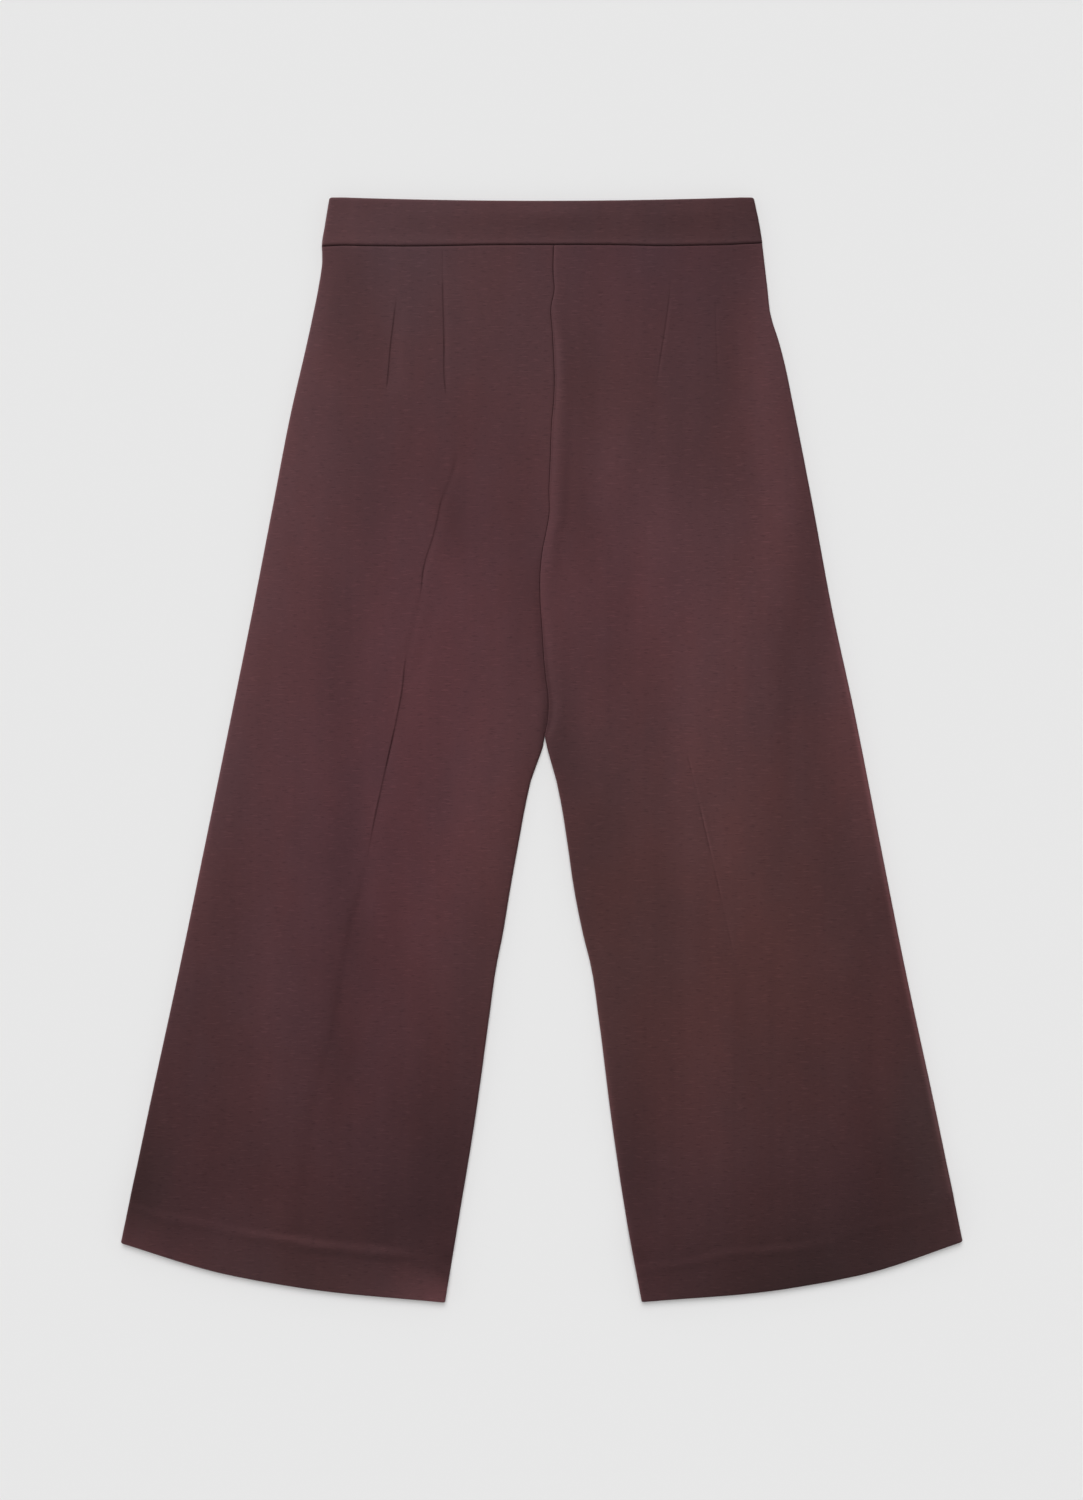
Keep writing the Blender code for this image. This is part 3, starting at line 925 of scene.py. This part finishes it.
# %% Tints, and the dye and painted light of a whole panel
TINTS = table(
    "across down half_width half_length red blue",
    (-115, 470, 175, 420, 0.075, 0.03),
    (-200, 870, 170, 100, -0.08, 0),
    (-105, 30, 140, 130, -0.065, 0.085),
    (80, 40, 130, 130, -0.02, 0.1),
    (-45, 255, 140, 200, 0.042, 0),
    (60, 310, 110, 160, 0.05, 0),
    (0, 600, 150, 260, 0, -0.085),
    (170, 590, 210, 300, 0.015, -0.12),
    (-315, 765, 50, 95, -0.06, 0),
    (230, 870, 180, 110, -0.12, 0.02),
    (310, 740, 70, 150, -0.105, 0),
)
RED_FROM_GREEN = 0.75
BAND_DYE = (0.955, 1.03, 1.03)


def panel_dye_and_painted_light(at):
    """The strength of red, green and blue at each place of a panel: painted light and shade, times
    the tints.
    """
    # The light here is painted: highlights along the edges and the hem, and soft patches of light and
    # shade.
    painted_rims = painted_rim_highlight(at, "side", at.from_side)
    painted_rims += below_crotch(at.down) * painted_rim_highlight(at, "inseam", at.from_inner)
    light = 1 + painted_hem_highlight(at) + painted_rims + patches(at, by_side(PAINTED_LIGHT_AND_SHADE)[at.leg.side], "light")
    red, blue = patches(at, TINTS, "red"), patches(at, TINTS, "blue")
    green = -RED_FROM_GREEN * red
    return np.stack([light * (1 + change) for change in (red, green, blue)], axis=-1)


# %% [markdown]
# ## The leg panels
#
# The back panels carry all the marks and are finely meshed. The front panels lie face down on the
# table with nothing to show but their edges, so they stay flat and plain.

# %% Making the four leg panels
LOWEST_BACK = WALL + AIR_GAP / 2
SEAM_OPENS = CROTCH_DOWN - 4.0
FILL_FADES = (30.5, 44.5)


def edge_fall(at):
    """How far the outside of a panel has fallen at its seams and free edges."""
    sewn = 1 - ease(at.down, SEAM_OPENS, CROTCH_DOWN + CROTCH_BLEND)
    at_inner = sewn * rolled(at.from_inner, CENTRE_EDGE)
    at_inner += (1 - sewn) * rolled(at.from_inner, FREE_EDGE)
    at_band = rolled(at.down - band_seam(at.across), UNDER_BAND)
    return np.maximum(np.maximum(rolled(at.from_side, FREE_EDGE), at_inner), at_band)


def allowance_lift(at):
    """How far the seam allowances lift the outside of the cloth. At the hem this fades away."""
    _, fill = air_and_fill(at)
    return fill * ease(at.above_hem, *FILL_FADES)


def panel_points(at):
    """The points of a leg panel, by side, row and column: side 0 is the inside of the cloth."""
    sides = []
    for wall in (0, WALL):
        fall = edge_fall(at) * (wall > 0)
        reach = AIR_GAP / 2 + wall - fall
        if at.leg.layer == "back":
            level = back_level(at) + centre_seam_height(at)
            height = np.maximum(level + reach * np.cos(at.turn), LOWEST_BACK + (wall - fall))
            height = height + allowance_lift(at) * (wall > 0)
        else:
            height = LAYER - AIR_GAP / 2 - reach * np.cos(at.turn)
        sides.append(on_table(at.across, at.down + reach * np.sin(at.turn), height))
    return np.array(sides)


def make_panel(leg):
    """One leg panel, with its hem turned up."""
    at = Places(leg)
    dye_and_painted_light = panel_dye_and_painted_light(at) if leg.layer == "back" else EVEN_DYE
    return make_sheet(f"{leg.layer}_{leg.side}_cloth", panel_points(at), dye_and_painted_light)


panels = [make_panel(leg) for leg in legs]

# %% [markdown]
# ## The waistband
#
# A waistband is a stiffened strip folded lengthwise. Its top edge is a fold, so it is round, and
# its upper corners are round too. Just below the fold the strip is springy and stands up a little
# (its crown), most of all in the middle. Its lower edge is sewn to the legs. The seam allowances
# pressed up inside it make a low welt just above the seam, which is wider on the left.

# %% Making both halves of the waistband
BAND_WALL = 2.0
BAND_STEPS = {"back": (132, 18), "front": (30, 6)}
BAND_WELT = 0.56
BAND_WELT_AT = 1.3
WELT_WIDTHS = (8.5, 3.5)
WELT_NARROWS = (-95, -45)
BAND_CORNER = Roll(2.8, 1.9)
CROWN_AT = 12.0
CROWN_FOOT = 28.0
CROWNS = table(
    "across rise",
    (-158, -0.3), (-134, -0.2), (-111, 0.2), (-87, 0.5), (-40, 0.8), (-17, 1), (6, 1.4), (30, 1),
    (53, 0.5), (77, 0.5), (100, 0.8), (123, 0.7), (150, 0.25),
)
crown_rise = column_curve(CROWNS, "rise")


def with_near_ends(length, steps):
    """Places from 0 to length, evenly spaced but crowded at both ends."""
    *near, last = NEAREST
    middle = np.linspace(last, length - last, steps)
    return np.array([0, *near, *middle, *(length - n for n in reversed(near)), length])


def band_plan(layer):
    """Where each point is: across, down, its way from the top edge, and from the nearer end."""
    left_edge, right_edge = (column_curve(SIDE_SEAMS, side) for side in OUTWARDS)
    column_steps, row_steps = BAND_STEPS[layer]
    width = float(right_edge(0) - left_edge(0))
    shares = with_near_ends(width, column_steps)[None, :] / width
    run = with_near_ends(BAND_SEAM_DOWN, row_steps)[:, None]
    left, right = left_edge(run), right_edge(run)
    across = left + (right - left) * shares
    from_end = np.minimum(across - left, right - across)
    top = band_top(across) + rolled(from_end, BAND_CORNER)
    below_top = (band_seam(across) - SEAM_GAPS[layer] / 2 - top) * run / BAND_SEAM_DOWN
    return across, top + below_top, run, from_end


def band_points(layer):
    """The points of half a waistband, by side, row and column."""
    across, down, run, from_end = band_plan(layer)
    from_seam = BAND_SEAM_DOWN - run
    fall = np.maximum(rolled(np.minimum(from_end, run), BAND_TOP), rolled(from_seam, BAND_FOOT))
    widest, narrowest = WELT_WIDTHS
    welt_width = widest - (widest - narrowest) * ease(across, *WELT_NARROWS)
    welt = BAND_WELT * (1 - ease(from_seam, BAND_WELT_AT, BAND_WELT_AT + welt_width))
    crown = crown_rise(across) * ease(run, 0, CROWN_AT) * (1 - ease(run, CROWN_AT, CROWN_FOOT))
    if layer == "back":
        floor = BAND_WALL + AIR_GAP
        low, high = floor + fall / 2, floor + BAND_WALL - fall + welt + crown
    else:
        low, high = BAND_WALL + 0 * across, fall
    return np.array([on_table(across, down, low), on_table(across, down, high)])


bands = [
    make_sheet(f"waistband_{layer}_cloth", band_points(layer), BAND_DYE) for layer in BAND_STEPS
]
garment = [*panels, *bands]

# %% [markdown]
# ## Shader maths as plain sums
#
# A pattern such as a weave is a formula, and in Blender a formula is a chain of Math nodes. Wiring
# those by hand hides the formula. This small class holds one socket and lets Python's own signs
# build the nodes, so the weave below can be read as a sum.

# %% A socket that can be added and multiplied
def new_node(tree, kind, settings=None, inputs=None, output=0):
    """Adds a node, sets it up, feeds its sockets, and returns one of its outputs as a Wire."""
    node = tree.nodes.new(kind)
    for name, value in (settings or {}).items():
        setattr(node, name, value)
    for name, value in (inputs or {}).items():
        if isinstance(value, Wire):
            tree.links.new(value.socket, node.inputs[name])
        else:
            node.inputs[name].default_value = value
    return Wire(node.outputs[output])


class Wire:
    """One output socket of a shader, with the signs of arithmetic."""

    def __init__(self, socket):
        self.socket = socket

    def math(self, operation, first, second=0.0):
        settings = {"operation": operation}
        return new_node(self.socket.id_data, "ShaderNodeMath", settings, {0: first, 1: second})

    def __add__(self, other):
        return self.math("ADD", self, other)

    __radd__ = __add__

    def __mul__(self, other):
        return self.math("MULTIPLY", self, other)

    __rmul__ = __mul__

    def __sub__(self, other):
        return self.math("SUBTRACT", self, other)

    def __rsub__(self, other):
        return self.math("SUBTRACT", other, self)

    def sine(self):
        return self.math("SINE", self)

    def size(self):
        return self.math("ABSOLUTE", self)

    def above(self, limit):
        return self.math("GREATER_THAN", self, limit)

    def ramp(self, start, end):
        """0 up to start, 1 from end on, and a soft ramp between."""
        settings = {"interpolation_type": "SMOOTHSTEP"}
        inputs = {"Value": self, "From Min": start, "From Max": end}
        return new_node(self.socket.id_data, "ShaderNodeMapRange", settings, inputs)


# %% [markdown]
# ## The cloth
#
# The cloth is a matt, closely woven suiting in dark maroon. Three things give it life. The plain
# weave is finer than half a millimetre and only shows close up. Slubs, short thick stretches of
# weft, lie across the leg as fine dashes, with thin places between. And the dye takes a little
# unevenly, in a fine mottle, in soft patches and in streaks down the leg. Each is a noise of its own
# size. "limits" turns a noise into spots, and "tone" is how much lighter it makes the cloth. All of
# them read the UV places, so they follow the cloth round the hem.

# %% The cloth's material
THREAD = 0.00042
PATTERNS = table(
    "name across down detail roughness limits tone",
    ("mottle", 0.003, 0.0018, 3, 0.7, None, 0.5),
    ("patches", 0.035, 0.05, 3, 0.6, None, 0.45),
    ("streaks", 0.022, 0.3, 3, 0.6, None, 0.45),
    ("slubs", 0.01, 0.0013, 1, 0.5, (0.62, 0.78), 0.6),
    ("thin", 0.007, 0.00117, 1, 0.5, (0.36, 0.22), -0.6),
    ("warmth", 0.07, 0.13, 3, 0.6, (0.3, 0.7), 0),
)
TONE_SHIFT = -0.17
DYE_DEEP = (0.0830, 0.0330, 0.0368, 1.0)
DYE_LIGHT = (0.1200, 0.0472, 0.0518, 1.0)
WARMER = (1.025, 0.985, 0.975, 1.0)
COOLER = (0.975, 1.015, 1.035, 1.0)
RELIEF = {"threads": 0.35, "slubs": 0.5, "mottle": 0.6}
BUMP = {"Strength": 0.35, "Distance": 0.0002}
ROUGHNESS = 0.78
ROUGHNESS_SPREAD = 0.12
SUITING = {
    "Specular IOR Level": 0.25,
    "Sheen Weight": 0.18,
    "Sheen Roughness": 0.5,
    "Sheen Tint": (0.9, 0.62, 0.62, 1.0),
}


def new_material(name, settings):
    """A material with Blender's standard shader in these settings, and that shader."""
    material = bpy.data.materials.new(name)
    material.use_nodes = True
    shader = material.node_tree.nodes["Principled BSDF"]
    for socket, value in settings.items():
        shader.inputs[socket].default_value = value
    return material, shader


def noise(tree, place, pattern):
    """Noise whose patches are about as long across and down the cloth as the pattern says."""
    inputs = {"Vector": place, "Scale": (1 / pattern.across, 1 / pattern.down, 1.0)}
    stretched = new_node(tree, "ShaderNodeMapping", {"vector_type": "POINT"}, inputs)
    inputs = {"Vector": stretched, "Scale": 1.0}
    inputs |= {"Detail": pattern.detail, "Roughness": pattern.roughness}
    plain = new_node(tree, "ShaderNodeTexNoise", {"noise_dimensions": "2D"}, inputs)
    return plain.ramp(*pattern.limits) if pattern.limits else plain


def weave(tree, place):
    """The height of a plain weave: warp and weft take turns to lie on top."""
    parts = [new_node(tree, "ShaderNodeSeparateXYZ", {}, {0: place}, n) for n in (0, 1)]
    warp, weft = ((part * (pi / THREAD)).sine() for part in parts)
    over = (warp * weft).above(0.0)
    return over * warp.size() + (1 - over) * weft.size()


def mixed(tree, kind, factor, first, second):
    """Two colours, blended in one of Blender's ways."""
    settings = {"data_type": "RGBA", "blend_type": kind}
    return new_node(tree, "ShaderNodeMix", settings, {0: factor, 6: first, 7: second}, 2)


def cloth_material(name):
    """Dark maroon suiting."""
    material, shader = new_material(name, SUITING)
    tree = material.node_tree
    place = new_node(tree, "ShaderNodeUVMap", {"uv_map": "cloth"})
    layers = {pattern.name: noise(tree, place, pattern) for pattern in PATTERNS}
    toned = [pattern for pattern in PATTERNS if pattern.tone]
    tone = sum(pattern.tone * layers[pattern.name] for pattern in toned) + TONE_SHIFT
    dyed = mixed(tree, "MIX", tone, DYE_DEEP, DYE_LIGHT)
    hue = mixed(tree, "MIX", layers["warmth"], COOLER, WARMER)
    tinted = mixed(tree, "MULTIPLY", 1.0, dyed, hue)
    # This attribute carries the tints of the dye together with the panels' painted highlights, light
    # and shade.
    dye_and_painted_light = new_node(tree, "ShaderNodeAttribute", {"attribute_name": "dye_and_painted_light"}, output=1)
    inputs = {0: tinted, 1: dye_and_painted_light}
    coloured = new_node(tree, "ShaderNodeVectorMath", {"operation": "MULTIPLY"}, inputs)
    tree.links.new(coloured.socket, shader.inputs["Base Color"])
    layers["threads"] = weave(tree, place)
    relief = sum(height * layers[layer] for layer, height in RELIEF.items())
    normal = new_node(tree, "ShaderNodeBump", {}, {"Height": relief, **BUMP})
    tree.links.new(normal.socket, shader.inputs["Normal"])
    rough = ROUGHNESS + ROUGHNESS_SPREAD * layers["mottle"]
    tree.links.new(rough.socket, shader.inputs["Roughness"])
    print(f"{name}: {len(tree.nodes)} nodes")
    return material


cloth = cloth_material("maroon_suiting")
for piece in garment:
    piece.data.materials.append(cloth)

# %% [markdown]
# ## A pale table
#
# The garment lies on a plain pale disc just under the cloth, wide enough to fill any view.

# %% The table
FLOOR_RADIUS = 30.0
FLOOR_SIDES = 64
FLOOR_HEIGHT = -0.0001
PALE = {"Base Color": (0.80, 0.80, 0.80, 1.0), "Roughness": 0.9, "Specular IOR Level": 0.0}

disc = bmesh.new()
bmesh.ops.create_circle(disc, cap_ends=True, segments=FLOOR_SIDES, radius=FLOOR_RADIUS)
bmesh.ops.translate(disc, verts=disc.verts[:], vec=(0, 0, FLOOR_HEIGHT))
floor = add_mesh("table", disc)
floor.data.materials.append(new_material("pale_table", PALE)[0])
print(f"the table is {2 * FLOOR_RADIUS:.0f} m wide")

# %% [markdown]
# ## Camera
#
# The camera looks straight down from well above, with a long lens, so that the edges of the garment
# don't lean outwards. The waist is at the top, and the long side of the picture takes in a little
# more than the garment.

# %% The camera
SEEN_HEIGHT = 1.170
LENS = 85.0
SENSOR = 36.0
CAMERA_SHIFT = (-0.0003, 0.0)
GARMENT_TOP = frame_box[1][2] / 2

camera = add_object("camera", bpy.data.cameras.new("camera"))
camera.data.lens = LENS
camera.data.sensor_width = SENSOR
away = SEEN_HEIGHT * LENS / SENSOR
camera.location = (*CAMERA_SHIFT, away + GARMENT_TOP)
bpy.context.scene.camera = camera
print(f"the camera is {away:.2f} m above the cloth")

# %% [markdown]
# ## Soft studio light
#
# The sky is bright near the horizon, so that the table runs into it without an edge, and dimmer
# overhead. One lamp, low on the upper left and far away, lights only the cloth: it rakes over the
# creases and fades towards the hems. Two more light only the table. The one from above keeps it
# evenly pale, and the one behind the waistband lets a soft shadow fall below the hems.

# %% Lamps and sky
HORIZON = 0.80
ZENITH = 0.12
SKY_DIMS = (0.15, 0.6)
SPOT = {"energy": 3320, "shadow_soft_size": 0.45, "spot_size": radians(10.5), "spot_blend": 1}
LAMPS = table(
    "name kind turn height away aim settings",
    ("cloth_lamp", "SPOT", 135, 34, 8, (-0.31, 0.33, 0), SPOT),
    ("over_table", "SUN", 90, 88, 1, (0, 0, 0), {"energy": 1.13, "angle": radians(35)}),
    ("behind_waist", "SUN", 94, 52, 1, (0, 0, 0), {"energy": 1.68, "angle": radians(45)}),
)


def add_lamp(row, pieces):
    """Puts up a lamp that faces its aim and lights only these pieces."""
    data = bpy.data.lights.new(row.name, row.kind)
    for name, value in row.settings.items():
        setattr(data, name, value)
    turn, height = radians(row.turn), radians(row.height)
    side = Vector((cos(height) * cos(turn), cos(height) * sin(turn), sin(height)))
    aim = Vector(row.aim)
    lamp = add_object(row.name, data)
    lamp.location = aim + row.away * side
    lamp.rotation_mode = "QUATERNION"
    lamp.rotation_quaternion = (aim - lamp.location).to_track_quat("-Z", "Y")
    group = bpy.data.collections.new("lit_by_" + row.name)
    for piece in pieces:
        group.objects.link(piece)
    lamp.light_linking.receiver_collection = group


sky = bpy.data.worlds.new("sky")
sky.use_nodes = True
tree = sky.node_tree
view = new_node(tree, "ShaderNodeTexCoord")
upwards = new_node(tree, "ShaderNodeSeparateXYZ", inputs={0: view}, output=2)
overhead = upwards.ramp(*SKY_DIMS)
strength = HORIZON * (1 - overhead) + ZENITH * overhead
background = tree.nodes["Background"]
background.inputs["Color"].default_value = (1, 1, 1, 1)
tree.links.new(strength.socket, background.inputs["Strength"])
bpy.context.scene.world = sky
for row in LAMPS:
    add_lamp(row, garment if row.name == "cloth_lamp" else [floor])
bpy.context.scene.view_settings.view_transform = "Standard"
print("lamps:", [row.name for row in LAMPS])

# %% [markdown]
# ## Saying what each piece is
#
# Each sheet stands for one piece of the frame and moves with it. A sheet of cloth also says the
# size it was cut to: the rectangle it fits in, and its own area. Seam allowances are left out,
# because they are turned inside and don't show.

# %% Declaring the cloth
def cut_of(piece):
    """The rectangle that a laid sheet was cut from, and its own flat area, from its UV places."""
    mesh = piece.data
    places = np.empty(2 * len(mesh.loops))
    mesh.uv_layers["cloth"].data.foreach_get("uv", places)
    places = places.reshape(-1, 2)
    width, length = places.max(0) - places.min(0)
    area = sum(polygon.area for polygon in mesh.polygons) / 2
    return float(width), float(length), float(area)


for piece in garment:
    node = piece.name.removesuffix("_cloth")
    width, length, area = cut_of(piece)
    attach(piece, "root")
    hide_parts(node)
    print(f"{node}: cut {width * 1000:.0f} by {length * 1000:.0f} mm, {area:.3f} square metres")
